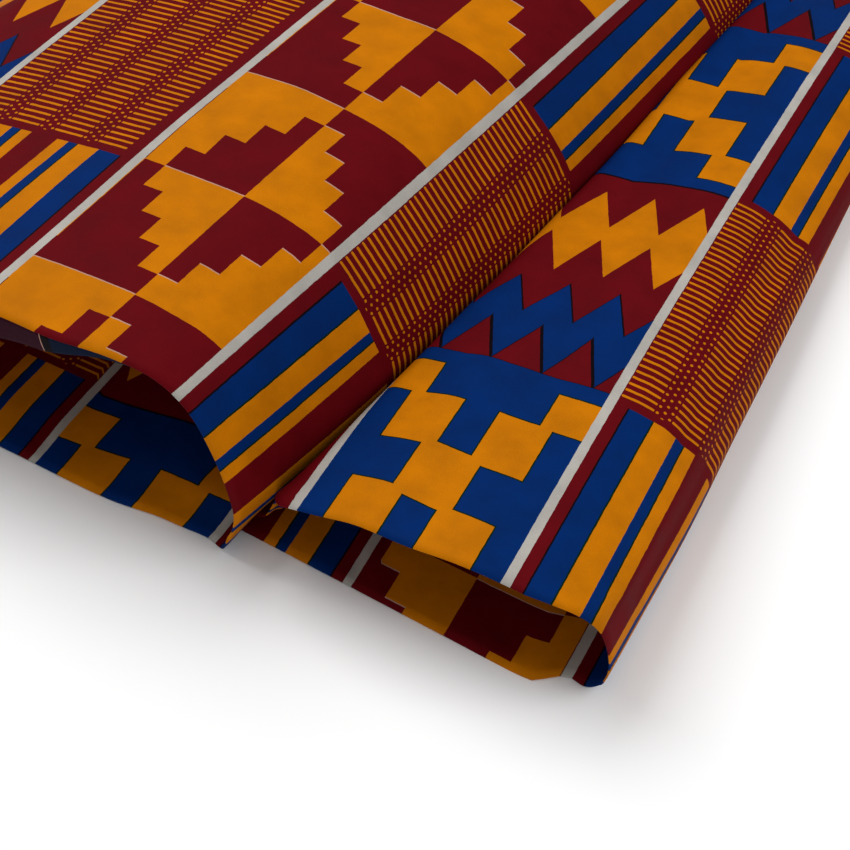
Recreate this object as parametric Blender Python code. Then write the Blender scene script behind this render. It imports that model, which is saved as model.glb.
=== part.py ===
# Wax print cotton, one cut length folded to and fro into two open rolls.
# Millimetres in the tables, metres in the mesh. +Z is up, the cut ends of the
# layers face -Y and the folds run along Y.
import math

import bmesh
import bpy

MM = 0.001
CLOTH_THICK = 1.6         # the sheet with its thread and body, mm
PITCH = 75.0              # one printed column, white line to white line
LAYER_STEP = 2.6          # middle of one resting layer to the next
BED = 0.8                 # middle of the lowest layer over the table
LENGTH_STEPS = 15         # sections along the folds
LONGEST_STEP = 22.0       # mm along the cloth between two mesh lines
SHARPEST_STEP = 20.0      # degrees of bend between two mesh lines
WALK = 1.0                # mm of cloth laid down at a time
CENTRE = (-98.0, 106.25)   # plan middle of the folded length, mm

# The three sections that the shape is set out from: front cut, just behind it, back cut.
STATIONS = (-85.0, 30.0, 290.0)

# Plan points of the two crown lines at the three sections, mm.
BACK_CROWN = ((-36.4, -82.8), (-29.8, 26.7), (-18.3, 289.7))
FRONT_CROWN = ((71.6, -76.4), (62.6, 37.1), (44.9, 296.1))
FRONT_CROWN_ALONG = 6 * PITCH

# Plan direction of the cloth at the three sections, degrees from +X.
HEAD_BACK_ROLL = (2.0, 0.0, -3.0)
HEAD_INSIDE = (0.0, 1.0, 3.0)
HEAD_FRONT_ROLL = (1.0, 4.0, 7.0)
HEAD_BOTTOM = (-2.5, 3.0, 7.0)

# One row a fold or bend. Distances are mm along the cloth from the crown line of
# the back roll, tilt is the slope of the cloth in degrees (-180: lying face down).
# name, then along and tilt at the front cut, behind it and at the back cut
FOLDS = (
    ("foot end", -298, 0, -298, 0, -298, 0),
    ("foot", -263, 0, -267, 0, -264, 0),
    ("left drop", -245, 66, -248, 62, -246, 45),
    ("left drop top", -214, 66, -214, 62, -216, 45),
    ("shoulder", -186, 16, -188, 14, -196, 6),
    ("top left", -150, 12, -150, 10, -150, 2),
    ("top", -75, 7, -75, 3, -75, -1),
    ("top middle", -37, 0, -37, -1, -37, -8),
    ("crown start", -16, -11, -16, -14, -16, -18),
    ("crown", 0, -46, 0, -46, 0, -36),
    ("face top", 11, -66, 10, -54, 12, -44),
    ("face", 30, -76, 26, -54, 25, -46),
    ("face low", 44, -82, 41, -75, 34, -60),
    ("heel", 56, -106, 52, -103, 41, -98),
    ("tuck", 67, -130, 60, -138, 46, -148),
    ("fold out", 74, -180, 67, -180, 50, -180),
    ("inside", 101, -180, 117, -180, 143, -180),
    ("inside step", 107, -174, 123, -174, 149, -174),
    ("inside low", 126, -174, 142, -174, 168, -174),
    ("inside flat", 132, -180, 148, -180, 174, -180),
    ("left fold in", 200, -180, 208, -180, 221, -180),
    ("left fold out", 204.1, 0, 212.1, 0, 225.1, 0),
    ("under flat", 272, 0, 272, 0, 272, 0),
    ("under step", 278, 6, 278, 6, 278, 6),
    ("under high", 297, 6, 297, 6, 297, 6),
    ("under end", 303, 0, 303, 0, 303, 0),
    ("wall foot", 331, 0, 353, 0, 394, 0),
    ("wall", 338, 68, 361, 84, 400, 60),
    ("wall top", 362, 68, 380, 84, 408, 56),
    ("shoulder in", 371, 20, 389, 16, 416, 10),
    ("field left", 380, 13, 400, 9, 425, 6),
    ("field", 425, 3, 425, 4, 437, -2),
    ("front crown", 450, -4, 450, -6, 450, -8),
    ("lip", 468, -5, 465, -24, 465, -14),
    ("lip low", 476, -30, 476, -35, 478, -22),
    ("front face", 483, -73, 485, -53, 484, -60),
    ("front heel", 499, -91, 494, -82, 488, -120),
    ("front tuck", 512, -110, 507, -118, 491, -160),
    ("front fold out", 521, -180, 515, -180, 494, -180),
    ("bottom end", 655, -180, 655, -180, 655, -180),
)

# Height of the middle of the sheet at the rows that are held, mm.
HIGH_BED = BED + LAYER_STEP
HELD = {
    "foot end": (BED, BED, BED),
    "foot": (BED, BED, BED),
    "crown": (71.0, 64.5, 41.0),
    "fold out": (HIGH_BED + LAYER_STEP,) * 3,
    "inside": (HIGH_BED + LAYER_STEP,) * 3,
    "inside flat": (HIGH_BED,) * 3,
    "left fold in": (HIGH_BED,) * 3,
    "left fold out": (BED, BED, BED),
    "under flat": (BED, BED, BED),
    "under end": (HIGH_BED,) * 3,
    "wall foot": (HIGH_BED,) * 3,
    "field left": (37.0, 31.0, 13.5),
    "front crown": (44.4, 39.2, 18.0),
    "front fold out": (BED, BED, BED),
    "bottom end": (BED, BED, BED),
}

# The front cut draws back where the front roll turns under.
SHORT_CUT = 8.0
SHORT_FROM = 455.0
SHORT_MOST = 515.0
SHORT_TO = 540.0


def blend(values, v):
    """Smooth value at v of something given at the three sections."""
    a, b, c = STATIONS
    wa = (v - b) * (v - c) / ((a - b) * (a - c))
    wb = (v - a) * (v - c) / ((b - a) * (b - c))
    wc = (v - a) * (v - b) / ((c - a) * (c - b))
    return values[0] * wa + values[1] * wb + values[2] * wc


def rows_at(v):
    """Fold rows of one section: name, along, tilt."""
    rows = []
    for name, *cells in FOLDS:
        along = blend(cells[0::2], v)
        tilt = blend(cells[1::2], v)
        rows.append((name, along, tilt))
    return rows


def ramp(x, low, high):
    """0 below low, 1 above high, straight between."""
    return min(max((x - low) / (high - low), 0.0), 1.0)


def even_out(path, pins):
    """Spread the difference to the held heights over the cloth between them."""
    for (i, want_i), (j, want_j) in zip(pins, pins[1:]):
        off_i = want_i - path[i][2]
        off_j = want_j - path[j][2]
        for n in range(i + 1 if i else i, j):
            share = (n - i) / (j - i)
            path[n][5] = off_i + (off_j - off_i) * share
        path[j][5] = off_j
    for spot in path:
        spot[2] += spot[5]


def walk_section(v):
    """Lay the cloth of one section down: x, y, z, tilt, heading at every step."""
    rows = rows_at(v)
    along = {name: a for name, a, tilt in rows}
    start = rows[0][1]
    count = int(round((rows[-1][1] - start) / WALK))
    x = y = z = 0.0
    path = [[x, y, z, 0.0, 0.0, 0.0]]
    row = 0
    for n in range(count):
        s = start + (n + 0.5) * WALK
        while s > rows[row + 1][1]:
            row += 1
        (_, a0, t0), (_, a1, t1) = rows[row], rows[row + 1]
        tilt = math.radians(t0 + (t1 - t0) * (s - a0) / (a1 - a0))
        if s < along["heel"]:
            head = blend(HEAD_BACK_ROLL, v)
        elif s < along["left fold in"] + 2.0:
            head = blend(HEAD_INSIDE, v)
        elif s < along["front heel"]:
            head = blend(HEAD_FRONT_ROLL, v)
        else:
            head = blend(HEAD_BOTTOM, v)
        head = math.radians(head)
        x += math.cos(tilt) * math.cos(head) * WALK
        y += math.cos(tilt) * math.sin(head) * WALK
        z += math.sin(tilt) * WALK
        path.append([x, y, z, tilt, head, 0.0])

    def step(s):
        return min(max(int(round((s - start) / WALK)), 0), count)

    pins = []
    for name, heights in HELD.items():
        pins.append((step(along[name]), blend(heights, v)))
    even_out(path, sorted(pins))

    crown = path[step(0.0)]
    shift_x = blend([p[0] for p in BACK_CROWN], v) - crown[0]
    shift_y = blend([p[1] for p in BACK_CROWN], v) - crown[1]
    for spot in path:
        spot[0] += shift_x
        spot[1] += shift_y
    front = path[step(FRONT_CROWN_ALONG)]
    left_x = blend([p[0] for p in FRONT_CROWN], v) - front[0]
    left_y = blend([p[1] for p in FRONT_CROWN], v) - front[1]
    for n, spot in enumerate(path):
        share = ramp(start + n * WALK, along["inside flat"], along["under flat"])
        spot[0] += left_x * share
        spot[1] += left_y * share
    return start, path


def spot_at(section, s):
    """Point, tilt and heading of a section at distance s along the cloth."""
    start, path = section
    f = min(max((s - start) / WALK, 0.0), len(path) - 1.001)
    n = int(f)
    part = f - n
    low, high = path[n], path[n + 1]
    return [a + (b - a) * part for a, b in zip(low, high)]


def mesh_lines():
    """Where mesh lines run: row number and share of the way to the next row."""
    lines = []
    for n in range(len(FOLDS) - 1):
        need = 1
        for k in range(3):
            run = FOLDS[n + 1][1 + 2 * k] - FOLDS[n][1 + 2 * k]
            bend = abs(FOLDS[n + 1][2 + 2 * k] - FOLDS[n][2 + 2 * k])
            if run > 8.0 or bend > 2.0 * SHARPEST_STEP:
                need = max(need, math.ceil(run / LONGEST_STEP))
                need = max(need, math.ceil(bend / SHARPEST_STEP))
        for part in range(need):
            lines.append((n, part / need))
    lines.append((len(FOLDS) - 2, 1.0))
    return lines


def drawn_back(s, reach):
    """How far the front cut draws back at s, fading out towards the back cut."""
    share = ramp(s, SHORT_FROM, SHORT_MOST) - ramp(s, SHORT_MOST, SHORT_TO)
    return SHORT_CUT * share * (1.0 - reach) ** 2


def middle_sheet():
    """Grid of points in the middle of the cloth, with the tilt and heading."""
    lines = mesh_lines()
    grid = []
    v0, v1 = STATIONS[0], STATIONS[2]
    for j in range(LENGTH_STEPS + 1):
        reach = j / LENGTH_STEPS
        v = v0 + (v1 - v0) * reach
        section = walk_section(v)
        rows = rows_at(v)
        line = []
        for n, part in lines:
            s = rows[n][1] + (rows[n + 1][1] - rows[n][1]) * part
            x, y, z, tilt, head, _ = spot_at(section, s)
            y += drawn_back(s, reach)
            line.append((x - CENTRE[0], y - CENTRE[1], max(z, BED), tilt, head))
        grid.append(line)
    return grid


def cross(a, b):
    return (
        a[1] * b[2] - a[2] * b[1],
        a[2] * b[0] - a[0] * b[2],
        a[0] * b[1] - a[1] * b[0],
    )


def normal_at(grid, j, i):
    """Unit normal of the sheet, away from the printed face's underside."""
    tilt, head = grid[j][i][3], grid[j][i][4]
    across = (math.cos(tilt) * math.cos(head), math.cos(tilt) * math.sin(head), math.sin(tilt))
    low = grid[max(j - 1, 0)][i]
    high = grid[min(j + 1, LENGTH_STEPS)][i]
    along = (high[0] - low[0], high[1] - low[1], high[2] - low[2])
    n = cross(across, along)
    size = math.sqrt(n[0] ** 2 + n[1] ** 2 + n[2] ** 2)
    return (n[0] / size, n[1] / size, n[2] / size)


def build_cloth():
    grid = middle_sheet()
    rows = len(grid)
    cols = len(grid[0])
    half = CLOTH_THICK / 2.0
    bm = bmesh.new()
    top = []
    under = []
    for j in range(rows):
        top_line = []
        under_line = []
        for i in range(cols):
            x, y, z = grid[j][i][:3]
            nx, ny, nz = normal_at(grid, j, i)
            upper = (x + nx * half, y + ny * half, max(z + nz * half, 0.0))
            lower = (x - nx * half, y - ny * half, max(z - nz * half, 0.0))
            top_line.append(bm.verts.new([c * MM for c in upper]))
            under_line.append(bm.verts.new([c * MM for c in lower]))
        top.append(top_line)
        under.append(under_line)
    for j in range(rows - 1):
        for i in range(cols - 1):
            bm.faces.new((top[j][i], top[j][i + 1], top[j + 1][i + 1], top[j + 1][i]))
            bm.faces.new((under[j][i], under[j + 1][i], under[j + 1][i + 1], under[j][i + 1]))
    for j in range(rows - 1):
        bm.faces.new((top[j][0], top[j + 1][0], under[j + 1][0], under[j][0]))
        bm.faces.new((top[j][-1], under[j][-1], under[j + 1][-1], top[j + 1][-1]))
    for i in range(cols - 1):
        bm.faces.new((top[0][i], under[0][i], under[0][i + 1], top[0][i + 1]))
        bm.faces.new((top[-1][i], top[-1][i + 1], under[-1][i + 1], under[-1][i]))
    bmesh.ops.triangulate(bm, faces=bm.faces[:])
    bmesh.ops.recalc_face_normals(bm, faces=bm.faces[:])
    mesh = bpy.data.meshes.new("cloth")
    bm.to_mesh(mesh)
    bm.free()
    cloth = bpy.data.objects.new("cloth", mesh)
    bpy.context.scene.collection.objects.link(cloth)
    return cloth


def cotton():
    """Printed cotton: deep red ground colour, matt with a faint wax gloss."""
    mat = bpy.data.materials.new("printed_cotton")
    mat.use_nodes = True
    shader = mat.node_tree.nodes["Principled BSDF"]
    shader.inputs["Base Color"].default_value = (0.30, 0.06, 0.02, 1.0)
    shader.inputs["Roughness"].default_value = 0.7
    return mat


def main():
    for old in list(bpy.data.objects):
        bpy.data.objects.remove(old, do_unlink=True)
    cloth = build_cloth()
    cloth.data.materials.append(cotton())


main()
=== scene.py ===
# Wax print cotton, one cut length folded to and fro into two open rolls: its finish.
# Sizes are millimetres until a point goes into a mesh. The distance s runs along the
# cloth across the printed columns, and v runs along the folds.
import math

import bpy
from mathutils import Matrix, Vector, noise


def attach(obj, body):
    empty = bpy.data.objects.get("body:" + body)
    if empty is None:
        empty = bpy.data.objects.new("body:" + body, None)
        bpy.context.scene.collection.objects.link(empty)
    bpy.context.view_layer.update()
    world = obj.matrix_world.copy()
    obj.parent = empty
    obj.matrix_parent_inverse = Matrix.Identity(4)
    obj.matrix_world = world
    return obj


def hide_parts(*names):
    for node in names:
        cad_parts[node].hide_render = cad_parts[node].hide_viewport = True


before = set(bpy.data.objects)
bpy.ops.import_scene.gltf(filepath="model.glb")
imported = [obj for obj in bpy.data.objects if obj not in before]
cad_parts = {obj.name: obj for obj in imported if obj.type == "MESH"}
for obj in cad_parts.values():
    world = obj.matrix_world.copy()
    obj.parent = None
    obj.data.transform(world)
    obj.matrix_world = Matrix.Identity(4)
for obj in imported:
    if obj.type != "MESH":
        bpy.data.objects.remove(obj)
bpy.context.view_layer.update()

MM = 0.001
SHEET_THICK = 0.45         # cotton with its wax finish
PITCH = 75.0               # one printed column, white line to white line
ROW = 58.0                 # one printed row
LAYER_STEP = 2.6           # middle of one resting layer to the next
BED = 0.8                  # middle of the lowest layer over the table
WALK = 0.5                 # cloth laid down at a time
LENGTH_STEPS = 94          # mesh steps along the folds
LONGEST_STEP = 4.2         # cloth between two mesh lines
SHARPEST_STEP = 7.5        # degrees of bend between two mesh lines
RIPPLE_STEP = 1.4          # cloth between two mesh lines where the front roll ripples
CENTRE = (-98.0, 106.25)   # plan middle of the folded length

# The three sections that the shape is set out from: front cut, just behind it, back cut.
STATIONS = (-85.0, 30.0, 290.0)

# Plan points of the two crown lines at the three sections.
BACK_CROWN = ((-36.4, -82.8), (-29.8, 26.7), (-18.3, 289.7))
FRONT_CROWN = ((71.6, -76.4), (62.6, 37.1), (44.9, 296.1))
FRONT_CROWN_ALONG = 6 * PITCH

# Plan direction of the cloth at the three sections, degrees from +X.
HEAD_BACK_ROLL = (2.0, 0.0, -3.0)
HEAD_INSIDE = (0.0, 1.0, 3.0)
HEAD_FRONT_ROLL = (1.0, 4.0, 7.0)
HEAD_BOTTOM = (-2.5, 3.0, 7.0)

# One row a fold or bend: name, then distance along the cloth and its slope in degrees
# at the front cut, behind it and at the back cut (-180: lying face down).
FOLDS = (
    ("foot end", -298, 0, -298, 0, -298, 0),
    ("foot", -263, 0, -267, 0, -264, 0),
    ("left drop", -245, 66, -248, 62, -246, 45),
    ("left drop top", -214, 66, -214, 62, -216, 45),
    ("shoulder", -186, 16, -188, 14, -196, 6),
    ("top left", -150, 12, -150, 10, -150, 2),
    ("top", -75, 7, -75, 3, -75, -1),
    ("top middle", -37, 0, -37, -1, -37, -8),
    ("crown start", -16, -11, -16, -14, -16, -18),
    ("crown", 0, -46, 0, -46, 0, -36),
    ("face top", 11, -66, 10, -54, 12, -44),
    ("face", 30, -76, 26, -54, 25, -46),
    ("face low", 44, -82, 41, -75, 34, -60),
    ("heel", 56, -106, 52, -103, 41, -98),
    ("tuck", 67, -130, 60, -138, 46, -148),
    ("fold out", 74, -180, 67, -180, 50, -180),
    ("inside", 101, -180, 117, -180, 143, -180),
    ("inside step", 107, -174, 123, -174, 149, -174),
    ("inside low", 126, -174, 142, -174, 168, -174),
    ("inside flat", 132, -180, 148, -180, 174, -180),
    ("left fold in", 200, -180, 208, -180, 221, -180),
    ("left fold out", 204.1, 0, 212.1, 0, 225.1, 0),
    ("under flat", 272, 0, 272, 0, 272, 0),
    ("under step", 278, 6, 278, 6, 278, 6),
    ("under high", 297, 6, 297, 6, 297, 6),
    ("under end", 303, 0, 303, 0, 303, 0),
    ("wall foot", 331, 0, 353, 0, 394, 0),
    ("wall", 338, 68, 361, 84, 400, 60),
    ("wall top", 362, 68, 380, 84, 408, 56),
    ("shoulder in", 371, 20, 389, 16, 416, 10),
    ("field left", 380, 13, 400, 9, 425, 6),
    ("field", 425, 3, 425, 4, 437, -2),
    ("front crown", 450, -4, 450, -6, 450, -8),
    ("lip", 468, -5, 465, -24, 465, -14),
    ("lip low", 476, -30, 476, -35, 478, -22),
    ("front face", 483, -73, 485, -53, 484, -60),
    ("front heel", 499, -91, 494, -82, 488, -120),
    ("front tuck", 512, -110, 507, -118, 491, -160),
    ("front fold out", 521, -180, 515, -180, 494, -180),
    ("bottom end", 655, -180, 655, -180, 655, -180),
)

# Height of the middle of the sheet at the rows that are held.
HIGH_BED = BED + LAYER_STEP
HELD = {
    "foot end": (BED, BED, BED),
    "foot": (BED, BED, BED),
    "crown": (71.0, 64.5, 41.0),
    "fold out": (HIGH_BED + LAYER_STEP,) * 3,
    "inside": (HIGH_BED + LAYER_STEP,) * 3,
    "inside flat": (HIGH_BED,) * 3,
    "left fold in": (HIGH_BED,) * 3,
    "left fold out": (BED, BED, BED),
    "under flat": (BED, BED, BED),
    "under end": (HIGH_BED,) * 3,
    "wall foot": (HIGH_BED,) * 3,
    "field left": (37.0, 31.0, 13.5),
    "front crown": (44.4, 39.2, 18.0),
    "front fold out": (BED, BED, BED),
    "bottom end": (BED, BED, BED),
}

# The front cut draws back where the front roll turns under.
SHORT_CUT = 8.0
SHORT_FROM = 455.0
SHORT_MOST = 515.0
SHORT_TO = 540.0

# The printed columns and rows wander a little over the cloth: the distance along the
# cloth, then the shift of the print across the columns and the shift along them, each
# at the front cut, behind it and at the back cut.
PRINT_DRIFT = (
    (-298, 0.0, 0.0, 0.0, 0.0, 0.0, 0.0),
    (-150, 1.0, 4.5, 12.0, 0.0, 0.0, 0.0),
    (-75, 0.8, 3.6, 7.0, 0.0, -0.5, -0.5),
    (-38, -0.4, 1.6, 1.8, 0.8, 0.2, 1.5),
    (0, 1.5, -0.3, -3.4, 2.0, 2.0, 4.0),
    (16, 0.2, -4.0, 0.1, 2.5, 2.5, 4.6),
    (27, -0.8, -4.2, 0.5, 2.8, 2.8, 5.2),
    (35, -1.8, -2.8, -0.5, 2.9, 2.9, 5.5),
    (42, -2.4, -2.8, 1.0, 2.9, 2.9, 5.5),
    (46, -4.0, -4.2, 4.0, 2.9, 2.9, 5.5),
    (54, -7.4, -7.0, 4.0, 2.9, 2.9, 5.5),
    (66, -5.0, -5.0, 0.0, 2.9, 2.9, 5.5),
    (73, 0.3, 0.0, 0.0, 2.9, 2.9, 5.5),
    (77, 0.3, 0.0, 0.0, -12.4, -12.4, -12.4),
    (112, 1.0, -2.0, -2.0, -12.4, -12.4, -12.4),
    (148, 3.7, -6.0, -6.0, -9.1, -9.1, -9.1),
    (153, 3.7, -6.7, -6.0, -16.1, -16.1, -16.1),
    (235, 3.0, -4.0, -4.0, -16.1, -16.1, -16.1),
    (330, 0.0, 0.0, 0.0, 0.0, 0.0, 0.0),
    (350, 19.5, 3.0, 0.0, -4.5, -4.5, -2.0),
    (362, 7.6, 2.5, 0.0, -4.5, -4.5, -2.0),
    (373, -1.0, 0.5, 0.0, -4.5, -4.5, 0.0),
    (380, -1.0, 0.5, 0.0, -4.5, -4.5, 0.0),
    (405, 0.0, 0.0, 0.0, -4.3, -4.3, 1.5),
    (425, 0.3, 0.3, 0.0, -2.7, -2.7, 1.0),
    (440, 0.5, 0.5, -0.6, -1.5, -1.5, 4.5),
    (450, 0.6, 0.6, -1.2, -2.0, -1.8, 9.0),
    (457, 1.1, 0.8, -1.0, -2.4, -2.0, 9.0),
    (480, 1.1, 0.8, 0.0, 0.3, 0.3, 8.0),
    (523, -0.8, 2.0, 0.0, 0.3, 0.3, 8.0),
    (527, -1.0, 2.0, 0.0, 3.0, 3.0, 3.0),
    (597, -2.6, -2.6, 0.0, 3.0, 3.0, 3.0),
    (603, -2.6, -2.6, 0.0, -10.0, -10.0, -10.0),
    (655, -2.8, -2.6, 0.0, -10.0, -10.0, -10.0),
)

# Soft troughs (-) and ridges (+) in the cloth: from s, v to s, v, then half width and
# height.
CREASES = (
    (-120, -85, -60, 60, 14, 0.9),
    (-20, -85, -8, 120, 9, -0.5),
    (-60, 20, -20, 200, 12, 0.7),
    (16, -60, 20, 250, 6, 0.5),
    (30, -40, 34, 200, 5, -0.4),
    (398, -85, 404, 40, 9, 1.0),
    (418, -85, 430, 10, 10, -0.8),
    (440, 0, 443, 200, 8, 0.5),
    (468, -60, 468, 220, 3.2, 0.35),
    (476, -70, 476, 230, 2.6, -0.5),
    (482, -70, 481, 230, 2.4, 0.5),
    (489, -60, 488, 230, 2.6, -0.45),
    (495, -60, 493, 200, 2.6, 0.4),
    (545, -85, 560, -30, 8, 0.9),
    (110, -85, 130, -20, 12, 0.8),
)
ROLLING_SIZE = 55.0        # slow rise and fall of the whole cloth
ROLLING_HEIGHT = 0.55

# Layers by the distances along the cloth where each begins and ends, softly.
INSIDE_LAYER = ((62, 72), (196, 208))
UNDER_LAYER = ((200, 208), (354, 372))
PRESSED_LAYERS = ((58, 74), (345, 372))

# How layers lie by the front cut: the under layer further back, the inside layer down.
UNDER_BACK = 14.0
DROOP_LENGTH = 26.0
DROOP_LOWEST = BED + 0.2
PRESSED = 0.85             # how much less the pressed layers rise and fall
CREASE_END = 30.0          # how fast a crease dies out past its ends

# Where the front cut wavers: distance along the cloth, half width, how far back.
CUT_WAVES = (
    (-85, 30, -2.2),
    (-44, 17, -2.8),
    (76, 9, 2.6),
    (92, 16, 3.0),
    (150, 60, 1.3),
    (526, 4.5, 2.9),
    (535, 3.0, -1.3),
)

# The cloth's margin is turned down under the front cut of the high roll: distance along
# the cloth and how deep it hangs there.
MARGIN = ((-112, 13.0), (-70, 12.5), (-50, 9.0), (-32, 3.4), (-17, 0.6))
MARGIN_CHANGE = -50.0                  # where its dye changes
MARGIN_TOP = Vector((0.0, 0.7, -0.7))  # its top edge, from the front cut
MARGIN_LEAN = 0.12                     # how far its foot leans back, for its depth
MARGIN_STEPS = 6


def blend(values, v):
    """Smooth value at v of something given at the three sections."""
    a, b, c = STATIONS
    wa = (v - b) * (v - c) / ((a - b) * (a - c))
    wb = (v - a) * (v - c) / ((b - a) * (b - c))
    wc = (v - a) * (v - b) / ((c - a) * (c - b))
    return values[0] * wa + values[1] * wb + values[2] * wc


def between(values, v):
    """Straight value at v of something given at the three sections."""
    a, b, c = STATIONS
    if v < b:
        return values[0] + (values[1] - values[0]) * (v - a) / (b - a)
    return values[1] + (values[2] - values[1]) * (v - b) / (c - b)


def ramp(x, low, high):
    """0 below low, 1 above high, straight between."""
    return min(max((x - low) / (high - low), 0.0), 1.0)


def ease(x, low, high):
    """0 below low, 1 above high, with soft ends."""
    t = ramp(x, low, high)
    return t * t * (3.0 - 2.0 * t)


def within(s, layer):
    """1 within a layer, 0 outside it, with soft ends."""
    begins, ends = layer
    return ease(s, *begins) * (1.0 - ease(s, *ends))


def rows_at(v):
    """Fold rows of one section: name, distance along, slope."""
    return [(name, blend(cells[0::2], v), blend(cells[1::2], v)) for name, *cells in FOLDS]


def even_out(path, pins):
    """Spread the difference to the held heights over the cloth between them."""
    for (i, want_i), (j, want_j) in zip(pins, pins[1:]):
        off_i = want_i - path[i][2]
        off_j = want_j - path[j][2]
        for n in range(i + 1 if i else i, j):
            share = (n - i) / (j - i)
            path[n][3] = off_i + (off_j - off_i) * share
        path[j][3] = off_j
    for spot in path:
        spot[2] += spot[3]


def walk_section(v):
    """Lay the cloth of one section down: x, y, z at every step."""
    rows = rows_at(v)
    along = {name: a for name, a, slope in rows}
    start = rows[0][1]
    count = int(round((rows[-1][1] - start) / WALK))
    x = y = z = 0.0
    path = [[x, y, z, 0.0]]
    row = 0
    for n in range(count):
        s = start + (n + 0.5) * WALK
        while s > rows[row + 1][1]:
            row += 1
        (_, a0, t0), (_, a1, t1) = rows[row], rows[row + 1]
        slope = math.radians(t0 + (t1 - t0) * (s - a0) / (a1 - a0))
        if s < along["heel"]:
            head = HEAD_BACK_ROLL
        elif s < along["left fold in"] + 2.0:
            head = HEAD_INSIDE
        elif s < along["front heel"]:
            head = HEAD_FRONT_ROLL
        else:
            head = HEAD_BOTTOM
        head = math.radians(blend(head, v))
        x += math.cos(slope) * math.cos(head) * WALK
        y += math.cos(slope) * math.sin(head) * WALK
        z += math.sin(slope) * WALK
        path.append([x, y, z, 0.0])

    def step(s):
        return min(max(int(round((s - start) / WALK)), 0), count)

    pins = [(step(along[name]), blend(heights, v)) for name, heights in HELD.items()]
    even_out(path, sorted(pins))

    crown = path[step(0.0)]
    shift_x = blend([p[0] for p in BACK_CROWN], v) - crown[0]
    shift_y = blend([p[1] for p in BACK_CROWN], v) - crown[1]
    for spot in path:
        spot[0] += shift_x
        spot[1] += shift_y
    front = path[step(FRONT_CROWN_ALONG)]
    left_x = blend([p[0] for p in FRONT_CROWN], v) - front[0]
    left_y = blend([p[1] for p in FRONT_CROWN], v) - front[1]
    for n, spot in enumerate(path):
        share = ramp(start + n * WALK, along["inside flat"], along["under flat"])
        spot[0] += left_x * share
        spot[1] += left_y * share
    return start, path


def spot_at(section, s):
    """Point of a section at distance s along the cloth."""
    start, path = section
    f = min(max((s - start) / WALK, 0.0), len(path) - 1.001)
    n = int(f)
    return [a + (b - a) * (f - n) for a, b in zip(path[n][:3], path[n + 1][:3])]


def mesh_lines():
    """Where mesh lines run: row number and share of the way to the next row."""
    lines = []
    for n in range(len(FOLDS) - 1):
        rippled = 450 <= FOLDS[n][1] < 499
        need = 1
        for k in (1, 3, 5):
            run = FOLDS[n + 1][k] - FOLDS[n][k]
            bend = abs(FOLDS[n + 1][k + 1] - FOLDS[n][k + 1])
            need = max(need, math.ceil(run / (RIPPLE_STEP if rippled else LONGEST_STEP)))
            need = max(need, math.ceil(bend / SHARPEST_STEP))
        lines += [(n, part / need) for part in range(need)]
    return lines + [(len(FOLDS) - 2, 1.0)]


def crease_height(s, v):
    """Height of the soft troughs and ridges over the plain fold."""
    height = 0.0
    for s0, v0, s1, v1, half_width, rise in CREASES:
        run_s, run_v = s1 - s0, v1 - v0
        length = math.hypot(run_s, run_v)
        share = ((s - s0) * run_s + (v - v0) * run_v) / length ** 2
        beyond = max(-share, share - 1.0, 0.0) * length
        held = min(max(share, 0.0), 1.0)
        aside = math.hypot(s - s0 - run_s * held, v - v0 - run_v * held)
        if aside < 3.0 * half_width:
            height += rise * math.exp(-((aside / half_width) ** 2)) * math.exp(-beyond / CREASE_END)
    return height


def rolling_height(s, v):
    return ROLLING_HEIGHT * noise.noise(Vector((s / ROLLING_SIZE, v / ROLLING_SIZE, 4.7)))


def loose(s):
    """How free the cloth is to rise at s: only a little in the layers that lie pressed."""
    return 1.0 - within(s, PRESSED_LAYERS) * PRESSED


def print_place(s, v):
    """Where on the print the cloth at s, v is."""
    n = 0
    while n < len(PRINT_DRIFT) - 2 and s > PRINT_DRIFT[n + 1][0]:
        n += 1
    low, high = PRINT_DRIFT[n], PRINT_DRIFT[n + 1]
    share = ramp(s, low[0], high[0])
    across = between(low[1:4], v) * (1.0 - share) + between(high[1:4], v) * share
    along = between(low[4:7], v) * (1.0 - share) + between(high[4:7], v) * share
    return s + across, v + along


def laid_point(section, s, v):
    """Point of the cloth at s, v with the front cut as it lies."""
    x, y, z = spot_at(section, s)
    reach = (v - STATIONS[0]) / (STATIONS[2] - STATIONS[0])
    short = ramp(s, SHORT_FROM, SHORT_MOST) - ramp(s, SHORT_MOST, SHORT_TO)
    y += SHORT_CUT * short * (1.0 - reach) ** 2
    to_cut = 1.0 - ease(v, STATIONS[0], STATIONS[0] + DROOP_LENGTH)
    y += UNDER_BACK * within(s, UNDER_LAYER) * to_cut
    z += (DROOP_LOWEST - z) * within(s, INSIDE_LAYER) * to_cut
    for middle, half_width, back in CUT_WAVES:
        y += back * math.exp(-(((s - middle) / half_width) ** 2)) * to_cut
    return Vector((x - CENTRE[0], y - CENTRE[1], max(z, BED)))


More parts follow.
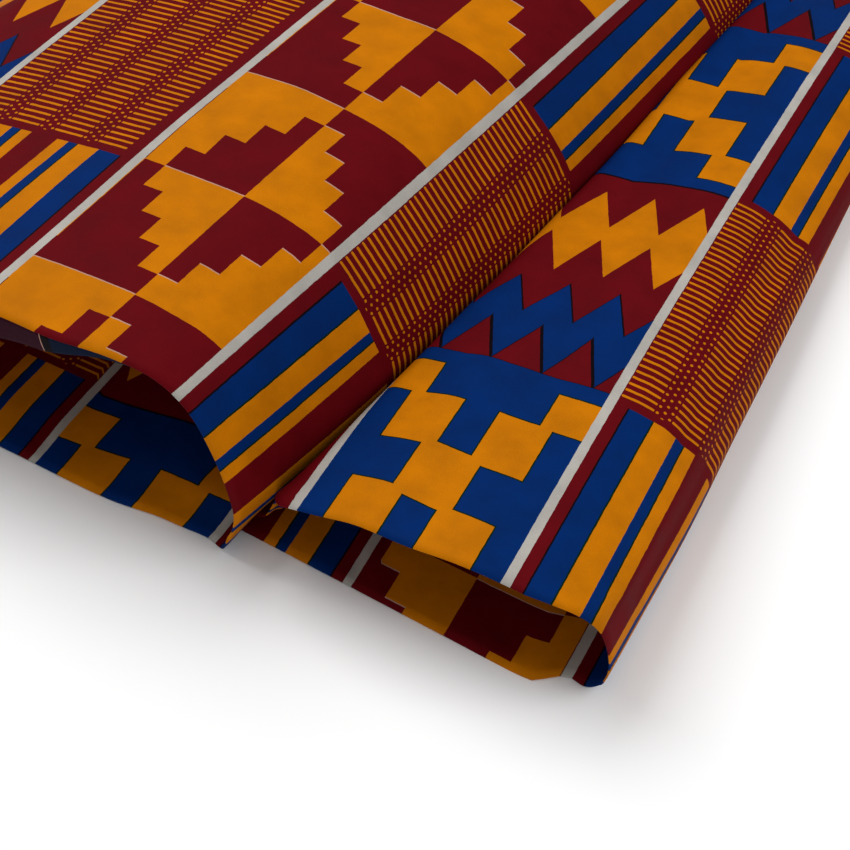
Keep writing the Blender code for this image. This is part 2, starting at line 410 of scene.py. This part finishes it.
def cloth_surface():
    """Rows of points in the middle of the cloth and their places on the print."""
    lines = mesh_lines()
    v0, v1 = STATIONS[0], STATIONS[2]
    points, prints, places = [], [], []
    for j in range(LENGTH_STEPS + 1):
        v = v0 + (v1 - v0) * j / LENGTH_STEPS
        section = walk_section(v)
        rows = rows_at(v)
        along = [rows[n][1] + (rows[n + 1][1] - rows[n][1]) * part for n, part in lines]
        points.append([laid_point(section, s, v) for s in along])
        prints.append([print_place(s, v) for s in along])
        places.append([(s, v) for s in along])
    raised = []
    for j, line in enumerate(points):
        raised_line = []
        for i, p in enumerate(line):
            across = line[min(i + 1, len(line) - 1)] - line[max(i - 1, 0)]
            along = points[min(j + 1, LENGTH_STEPS)][i] - points[max(j - 1, 0)][i]
            normal = across.cross(along).normalized()
            s, v = places[j][i]
            height = (crease_height(s, v) + rolling_height(s, v)) * loose(s)
            spot = p + normal * height
            spot.z = max(spot.z, BED * 0.5)
            raised_line.append(spot)
        raised.append(raised_line)
    return raised, prints


def margin_depth(s):
    """How deep the turned margin hangs at s."""
    for (s0, d0), (s1, d1) in zip(MARGIN, MARGIN[1:]):
        if s <= s1:
            return d0 + (d1 - d0) * ramp(s, s0, s1)
    return MARGIN[-1][1]


def make_sheet(name, lines, prints):
    """A thin closed sheet through lines of points, with the print's place on each point."""
    width = len(lines[0])
    verts = [p * MM for line in lines for p in line]
    faces = []
    for j in range(len(lines) - 1):
        for i in range(width - 1):
            a = j * width + i
            faces.append((a, a + 1, a + width + 1, a + width))
    mesh = bpy.data.meshes.new(name)
    mesh.from_pydata(verts, [], faces)
    place = mesh.attributes.new("print_mm", "FLOAT_VECTOR", "POINT")
    on_print = [c for line in prints for u, v in line for c in (u, v, 0.0)]
    place.data.foreach_set("vector", on_print)
    mesh.shade_smooth()
    sheet = bpy.data.objects.new(name, mesh)
    bpy.context.scene.collection.objects.link(sheet)
    body = sheet.modifiers.new("cloth thickness", "SOLIDIFY")
    body.thickness = SHEET_THICK * MM
    body.offset = 0.0
    return sheet


def make_cloth():
    """The whole folded length."""
    lines, prints = cloth_surface()
    return make_sheet("folded_cloth", lines, prints)


def make_margin():
    """The turned margin: a narrow strip that hangs from the front cut of the high roll."""
    section = walk_section(STATIONS[0])
    first, last = MARGIN[0][0], MARGIN[-1][0]
    count = int((last - first) / LONGEST_STEP) + 1
    lines, prints = [], []
    for i in range(count + 1):
        s = first + (last - first) * i / count
        top = laid_point(section, s, STATIONS[0]) + MARGIN_TOP
        depth = margin_depth(s)
        shares = [k / MARGIN_STEPS for k in range(MARGIN_STEPS + 1)]
        lines.append([top + depth * Vector((0.0, MARGIN_LEAN * t ** 2, -t)) for t in shares])
        prints.append([(s, depth * t) for t in shares])
    return make_sheet("turned_margin", lines, prints)


def srgb(code):
    """Linear colour of an sRGB hex value."""
    channels = [int(code[n:n + 2], 16) / 255.0 for n in (1, 3, 5)]
    linear = [c / 12.92 if c <= 0.04045 else ((c + 0.055) / 1.055) ** 2.4 for c in channels]
    return (*linear, 1.0)


def add(tree, kind, *inputs, **settings):
    """Add a node with its settings and links. A second word of the kind is its operation."""
    kind, _, operation = kind.partition(" ")
    node = tree.nodes.new("ShaderNode" + kind)
    if operation:
        node.operation = operation
    for n, (place, colour) in enumerate(settings.pop("stops", ())):
        stops = node.color_ramp.elements
        stop = stops[n] if n < 2 else stops.new(place)
        stop.position = place
        stop.color = colour
    if "steps" in settings:
        node.color_ramp.interpolation = settings.pop("steps")
    for name, value in settings.items():
        setattr(node, name, value)
    for socket, value in zip(node.inputs, inputs):
        if isinstance(value, bpy.types.NodeSocket):
            tree.links.new(value, socket)
        elif value is not None:
            socket.default_value = value
    return node.outputs[0]


def new_finish(name):
    """A new material, its tree and its shader."""
    mat = bpy.data.materials.new(name)
    mat.use_nodes = True
    return mat, mat.node_tree, mat.node_tree.nodes["Principled BSDF"]


# Dyes as they look on the cloth.
RED = srgb("#5C060E")
GOLD = srgb("#BC6D01")
BLUE = srgb("#00255F")
WHITE = srgb("#A8A49D")
PALE_GAP = srgb("#B48A7A")
GREEN_LINE = srgb("#03200F")
BLACK_LINE = srgb("#0C0408")
DARK_RED = srgb("#2E0618")
DARK_BLUE = srgb("#06122A")

COTTON_GLOSS = 0.03
BUMP_STRENGTH = 0.35
THREAD_RELIEF = 0.00004    # height of the weave, in metres

HALF_LINE = 1.62           # half of a white line
BLOCK_START = 1.95         # white line's middle to the first printed block
DYE_LINE = 0.55            # dark line where two dyes meet
TURNED_FROM = 60.0         # where the rows are counted from in the turned columns
PALE_LINE = 0.42           # undyed line where the wax left a gap
TREAD = 7.5                # width of one printed stair
TOOTH = PITCH / 4.0        # width of one zigzag tooth
BLOCK_HALF = 51.4          # cross block's middle to its ends
STRIPE_GAP = 2.8           # plain red past the ends of the stripes
FAR_LINE = 0.9             # dark line at the far end of a zigzag block


def stripe_colours(put, u):
    """The long stripes of a column, from one white line to the next."""
    bands = (
        (0.0, RED),
        (5.8, BLACK_LINE),
        (6.2, BLUE),
        (14.6, GREEN_LINE),
        (15.2, GOLD),
        (23.6, BLUE),
        (27.2, GREEN_LINE),
        (27.8, GOLD),
        (32.0, RED),
        (43.0, GOLD),
        (47.6, BLUE),
        (51.2, GREEN_LINE),
        (51.8, GOLD),
        (60.3, BLUE),
        (68.8, BLACK_LINE),
        (69.3, RED),
    )
    share = put("Math DIVIDE", u, PITCH)
    stops = [(start / PITCH, colour) for start, colour in bands]
    return put("ValToRGB", share, stops=stops, steps="CONSTANT")


def tick_marks(put, across, v):
    """Mask of the fine ticks and the staggered dots between them."""
    tick_long = 11.5
    dots_wide = 6.86           # three dots between the ends of two ticks
    dot_step = dots_wide / 3.0
    pitch = 2.0 * ROW / 37.0   # 37 ticks fill two rows
    half_thick = 0.53
    round_end = 0.4
    q = put("Math FLOORED_MODULO", across, tick_long + dots_wide)
    from_middle = put("Math ABSOLUTE", put("Math SUBTRACT", q, tick_long / 2.0))
    past_end = put("Math SUBTRACT", from_middle, tick_long / 2.0 - round_end)
    along_tick = put("Math MAXIMUM", past_end, 0.0)
    in_dots = put("Math GREATER_THAN", q, tick_long)
    w = put("Math SUBTRACT", q, tick_long)
    cell = put("Math FLOOR", put("Math DIVIDE", w, dot_step))
    in_cell = put("Math FLOORED_MODULO", w, dot_step)
    from_dot = put("Math SUBTRACT", in_cell, dot_step / 2.0)
    odd = put("Math FLOORED_MODULO", cell, 2.0)
    stagger = put("Math MULTIPLY", put("Math MULTIPLY", odd, in_dots), pitch / 2.0)
    side = put("Math SUBTRACT", from_dot, along_tick)
    side = put("Math MULTIPLY_ADD", side, in_dots, along_tick)
    step = put("Math FLOORED_MODULO", put("Math ADD", v, stagger), pitch)
    step = put("Math SUBTRACT", step, pitch / 2.0)
    aside = put("VectorMath LENGTH", put("CombineXYZ", side, step, 0.0)).node.outputs["Value"]
    mark = put("Math LESS_THAN", aside, half_thick)
    inner = put("Math LESS_THAN", across, 4.0 * tick_long + 3.0 * dots_wide)
    return put("Math MULTIPLY", mark, inner)


def striped_column(put, u, across, v):
    """Two rows of ticks and dots, then two rows of long stripes."""
    turn = put("Math FLOORED_MODULO", v, 4.0 * ROW)
    from_middle = put("Math ABSOLUTE", put("Math SUBTRACT", turn, 3.0 * ROW))
    past_end = put("Math GREATER_THAN", from_middle, ROW - STRIPE_GAP)
    stripes = put("MixRGB", past_end, stripe_colours(put, u), RED)
    ticks = put("MixRGB", tick_marks(put, across, v), RED, GOLD)
    in_ticks = put("Math LESS_THAN", turn, 2.0 * ROW)
    return put("MixRGB", in_ticks, stripes, ticks)


def stair_column(put, across, v):
    """Gold stairs on red, stepping up and down in turn, with a pale gap at far edges."""
    rise = ROW / 5.0
    right = put("Math GREATER_THAN", across, 5.0 * TREAD)
    in_half = put("Math FLOORED_MODULO", across, 5.0 * TREAD)
    n = put("Math FLOOR", put("Math DIVIDE", in_half, TREAD))
    # Steps counted from the left in the left half and from the right in the right half.
    turned = put("Math SUBTRACT", 4.0, put("Math MULTIPLY", n, 2.0))
    m = put("Math MULTIPLY_ADD", turned, right, n)
    odd_row = put("Math FLOORED_MODULO", put("Math FLOOR", put("Math DIVIDE", v, ROW)), 2.0)
    flip = put("Math MULTIPLY", put("Math SUBTRACT", 5.0, put("Math MULTIPLY", m, 2.0)), odd_row)
    level = put("Math MULTIPLY", put("Math ADD", m, flip), rise)
    up = put("Math FLOORED_MODULO", v, ROW)
    over = put("Math SUBTRACT", up, level)
    above = put("Math GREATER_THAN", over, 0.0)
    gold = put("Math ABSOLUTE", put("Math SUBTRACT", above, right))
    near_level = put("Math MULTIPLY", above, put("Math LESS_THAN", over, PALE_LINE))
    near_level = put("Math MULTIPLY", near_level, right)
    near_row = put("Math LESS_THAN", up, PALE_LINE)
    stepped = put("Math GREATER_THAN", put("Math ADD", odd_row, n), 0.5)
    near_row = put("Math MULTIPLY", near_row, stepped)
    near_row = put("Math MULTIPLY", near_row, put("Math SUBTRACT", 1.0, right))
    pale = put("Math MAXIMUM", near_level, near_row)
    colour = put("MixRGB", gold, RED, GOLD)
    return put("MixRGB", pale, colour, PALE_GAP)


def cross_block(put, from_middle, turn):
    """Blue block with a stepped gold cross, dark lines where the dyes meet."""
    a = put("Math ABSOLUTE", from_middle)
    b = put("Math ABSOLUTE", put("Math SUBTRACT", turn, 3.0 * ROW))
    edge = put("Math SUBTRACT", BLOCK_HALF, b)
    # Blue inside a and outside b, then the other way round: sizes from the middle.
    for inside_a, outside_b in ((20.8, 35.4), (6.1, 13.2)):
        past_a = put("Math SUBTRACT", a, inside_a)
        before_b = put("Math SUBTRACT", outside_b, b)
        edge = put("Math MINIMUM", edge, put("Math MAXIMUM", past_a, before_b))
    for outside_a, inside_b in ((26.0, 34.2), (10.9, 10.2)):
        before_a = put("Math SUBTRACT", outside_a, a)
        past_b = put("Math SUBTRACT", b, inside_b)
        edge = put("Math MINIMUM", edge, put("Math MAXIMUM", before_a, past_b))
    colour = put("MixRGB", put("Math LESS_THAN", edge, 0.0), GOLD, BLUE)
    line = put("Math LESS_THAN", put("Math ABSOLUTE", edge), DYE_LINE / 2.0)
    return put("MixRGB", line, colour, GREEN_LINE)


def zigzag_block(put, across, turn):
    """Red block with a blue zigzag band and a gold one whose top runs the other way."""
    share = put("Math FRACT", put("Math DIVIDE", across, TOOTH))
    fall = put("Math ABSOLUTE", put("Math SUBTRACT", put("Math MULTIPLY", share, 2.0), 1.0))
    right_side = put("Math LESS_THAN", share, 0.5)
    # Each edge: height where a tooth's tip or foot begins, the rise from there to the
    # other, the dye past it, and the dark line's width on left and right sides of a tooth.
    edges = (
        (0.0, 22.0, BLUE, 0.35, 1.15),
        (27.3, 20.2, RED, 0.25, 0.6),
        (54.5, 21.5, GOLD, 0.0, 0.0),
        (105.3, -21.3, RED, 0.0, 0.0),
    )
    colour = RED
    dark = put("Math LESS_THAN", turn, DYE_LINE / 2.0)
    for start, rise, dye, left_line, right_line in edges:
        level = put("Math MULTIPLY_ADD", fall, rise, start)
        over = put("Math SUBTRACT", turn, level)
        colour = put("MixRGB", put("Math GREATER_THAN", over, 0.0), colour, dye)
        if left_line:
            # A tooth's side is steep, so a line on it reaches further along v.
            steep = math.hypot(rise, TOOTH / 2.0) / TOOTH
            wider = (right_line - left_line) * steep
            reach = put("Math MULTIPLY_ADD", right_side, wider, left_line * steep)
            line = put("Math LESS_THAN", put("Math ABSOLUTE", over), reach)
            dark = put("Math MAXIMUM", line, dark)
    far_line = put("Math GREATER_THAN", turn, 2.0 * ROW - FAR_LINE)
    return put("MixRGB", put("Math MAXIMUM", far_line, dark), colour, BLACK_LINE)


def zigzag_column(put, across, u, v):
    """A zigzag block and a stepped cross block in turn, two rows each."""
    turn = put("Math FLOORED_MODULO", v, 4.0 * ROW)
    from_middle = put("Math SUBTRACT", u, PITCH / 2.0)
    cross = cross_block(put, from_middle, turn)
    zigzag = zigzag_block(put, across, turn)
    in_zigzag = put("Math LESS_THAN", turn, 2.0 * ROW)
    return put("MixRGB", in_zigzag, cross, zigzag)


def wax_printed_cotton():
    """Plain woven cotton, wax printed: flat deep dyes with slightly crawling edges, cloudy
    where the wax held unevenly, and a faint gloss from the finish that is left on it."""
    mat, tree, shader = new_finish("wax_printed_cotton")

    def put(kind, *inputs, **settings):
        return add(tree, kind, *inputs, **settings)

    place = put("Attribute", attribute_name="print_mm").node.outputs["Vector"]
    # The dye creeps along the threads, so its edges wander by about 0.2 mm.
    crawl = put("TexNoise", place, None, 0.3, 3.0, 0.6).node.outputs["Color"]
    crawl = put("VectorMath SUBTRACT", crawl, (0.5, 0.5, 0.5))
    crawl = put("VectorMath SCALE", crawl, None, None, 0.45)
    dyed = put("SeparateXYZ", put("VectorMath ADD", place, crawl))
    s, v = dyed, dyed.node.outputs["Y"]
    # Two columns of every six run the other way along the cloth.
    column = put("Math FLOOR", put("Math DIVIDE", s, PITCH))
    in_six = put("Math FLOORED_MODULO", column, 6.0)
    turned = put("Math COMPARE", in_six, 1.5, 0.6)
    change = put("Math MULTIPLY_ADD", v, -2.0, TURNED_FROM)
    v = put("Math MULTIPLY_ADD", change, turned, v)
    u = put("Math FLOORED_MODULO", s, PITCH)
    across = put("Math SUBTRACT", u, BLOCK_START)
    column = put("Math FLOORED_MODULO", column, 4.0)
    colour = striped_column(put, u, across, v)
    in_stairs = put("Math COMPARE", column, 3.0, 0.1)
    colour = put("MixRGB", in_stairs, colour, stair_column(put, across, v))
    in_zigzag = put("Math COMPARE", column, 1.0, 0.1)
    colour = put("MixRGB", in_zigzag, colour, zigzag_column(put, across, u, v))
    from_middle = put("Math ABSOLUTE", put("Math SUBTRACT", u, PITCH / 2.0))
    white = put("Math GREATER_THAN", from_middle, PITCH / 2.0 - HALF_LINE)
    colour = put("MixRGB", white, colour, WHITE)

    # Clouds of about 14 mm in the dye, and the fine mottle of the yarn.
    clouds = put("TexNoise", place, None, 0.07, 3.0, 0.55)
    depth = put("MapRange", clouds, 0.3, 0.7, 0.84, 1.08)
    mottle = put("TexNoise", place, None, 2.2, 2.0, 0.6)
    depth = put("Math MULTIPLY", depth, put("MapRange", mottle, 0.25, 0.75, 0.93, 1.07))
    shade = put("VectorMath SCALE", colour, None, None, depth)
    tree.links.new(shade, shader.inputs["Base Color"])

    # Plain weave, 0.35 mm a thread, drawn at 0.7 mm so that it shows.
    thread = 0.7
    wave = put("VectorMath SCALE", place, None, None, 2.0 * math.pi / thread)
    threads = put("SeparateXYZ", wave)
    warp = put("Math SINE", threads)
    weft = put("Math SINE", threads.node.outputs["Y"])
    relief = put("Math MULTIPLY_ADD", mottle, 2.0, put("Math MULTIPLY", warp, weft))
    bump = put("Bump", BUMP_STRENGTH, THREAD_RELIEF, None, relief)
    tree.links.new(bump, shader.inputs["Normal"])
    rough = put("MapRange", clouds, 0.3, 0.7, 0.58, 0.7)
    tree.links.new(rough, shader.inputs["Roughness"])
    shader.inputs["Specular IOR Level"].default_value = COTTON_GLOSS
    return mat


def plain_margin_cotton():
    """The same cotton past its print: the red dye, then the blue dye over it, both run
    together and dark, with a pale line between them."""
    mat, tree, shader = new_finish("margin_cotton")
    place = add(tree, "Attribute", attribute_name="print_mm").node.outputs["Vector"]
    start, stop = MARGIN[0][0], MARGIN[-1][0]
    share = add(tree, "MapRange", add(tree, "SeparateXYZ", place), start, stop, 0.0, 1.0)
    bands = (
        (start, DARK_RED),
        (MARGIN_CHANGE, PALE_GAP),
        (MARGIN_CHANGE + 0.57, BLACK_LINE),
        (MARGIN_CHANGE + 3.8, DARK_BLUE),
    )
    stops = [((s - start) / (stop - start), colour) for s, colour in bands]
    colour = add(tree, "ValToRGB", share, stops=stops, steps="CONSTANT")
    mottle = add(tree, "TexNoise", place, None, 0.6, 3.0, 0.6)
    depth = add(tree, "MapRange", mottle, 0.3, 0.7, 0.75, 1.1)
    shade = add(tree, "VectorMath SCALE", colour, None, None, depth)
    tree.links.new(shade, shader.inputs["Base Color"])
    bump = add(tree, "Bump", BUMP_STRENGTH, THREAD_RELIEF, None, mottle)
    tree.links.new(bump, shader.inputs["Normal"])
    shader.inputs["Roughness"].default_value = 0.65
    shader.inputs["Specular IOR Level"].default_value = COTTON_GLOSS
    return mat


def pale_floor():
    """Smooth white board, matt, with the slightest cloud so that it isn't dead flat."""
    mat, tree, shader = new_finish("white_board")
    where = add(tree, "TexCoord").node.outputs["Object"]
    cloud = add(tree, "TexNoise", where, None, 3.0, 2.0, 0.5)
    tone = add(tree, "ValToRGB", cloud, stops=((0.0, srgb("#F6F6F6")), (1.0, srgb("#FBFBFB"))))
    tree.links.new(tone, shader.inputs["Base Color"])
    shader.inputs["Roughness"].default_value = 0.9
    mesh = bpy.data.meshes.new("floor")
    half = 3.0
    corners = [(-half, -half, 0), (half, -half, 0), (half, half, 0), (-half, half, 0)]
    mesh.from_pydata(corners, [], [(0, 1, 2, 3)])
    floor = bpy.data.objects.new("floor", mesh)
    floor.data.materials.append(mat)
    bpy.context.scene.collection.objects.link(floor)


# Softboxes: name, place, width and power.
SOFTBOXES = (
    ("main_softbox", (-0.85, 0.15, 1.4), 1.2, 21.0),
    ("right_softbox", (1.2, 0.1, 1.2), 1.0, 11.0),
    ("front_softbox", (0.5, -1.3, 0.6), 0.8, 2.0),
)
SURROUNDINGS = 0.32


def soft_light(name, place, size, power):
    """A square softbox at place, in metres, facing the cloth."""
    lamp = bpy.data.lights.new(name, "AREA")
    lamp.shape = "SQUARE"
    lamp.size = size
    lamp.energy = power
    box = bpy.data.objects.new(name, lamp)
    box.location = place
    box.rotation_euler = (-Vector(place)).to_track_quat("-Z", "Y").to_euler()
    bpy.context.scene.collection.objects.link(box)


def studio():
    """Pale even surroundings and three softboxes: the main one high at the left, one
    at the right, and a weak low one in front that reaches into the rolls."""
    world = bpy.data.worlds.new("studio")
    world.use_nodes = True
    background = world.node_tree.nodes["Background"]
    background.inputs["Color"].default_value = (1.0, 1.0, 1.0, 1.0)
    background.inputs["Strength"].default_value = SURROUNDINGS
    scene = bpy.context.scene
    scene.world = world
    scene.view_settings.view_transform = "Standard"
    for name, place, size, power in SOFTBOXES:
        soft_light(name, place, size, power)


# Camera: 48.4 degrees above the table, looking 30 degrees left of the folds.
FRAME_PIXELS = 850.0
FOCAL_PIXELS = 1980.0
SENSOR = 36.0
AIM = (98.0, -106.25, 0.0)
DISTANCE = 675.0
ELEVATION = math.radians(48.4)
AZIMUTH = math.radians(30.0)


def place_camera():
    data = bpy.data.cameras.new("camera")
    data.sensor_width = SENSOR
    data.lens = FOCAL_PIXELS / FRAME_PIXELS * SENSOR
    camera = bpy.data.objects.new("camera", data)
    back = Vector((
        math.sin(AZIMUTH) * math.cos(ELEVATION),
        -math.cos(AZIMUTH) * math.cos(ELEVATION),
        math.sin(ELEVATION),
    ))
    camera.location = (Vector(AIM) + back * DISTANCE) * MM
    camera.rotation_euler = (-back).to_track_quat("-Z", "Y").to_euler()
    bpy.context.scene.collection.objects.link(camera)
    bpy.context.scene.camera = camera


place_camera()
studio()
pale_floor()
cloth = make_cloth()
cloth.data.materials.append(wax_printed_cotton())
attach(cloth, "root")
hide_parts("cloth")
margin = make_margin()
margin.data.materials.append(plain_margin_cotton())
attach(margin, "root")
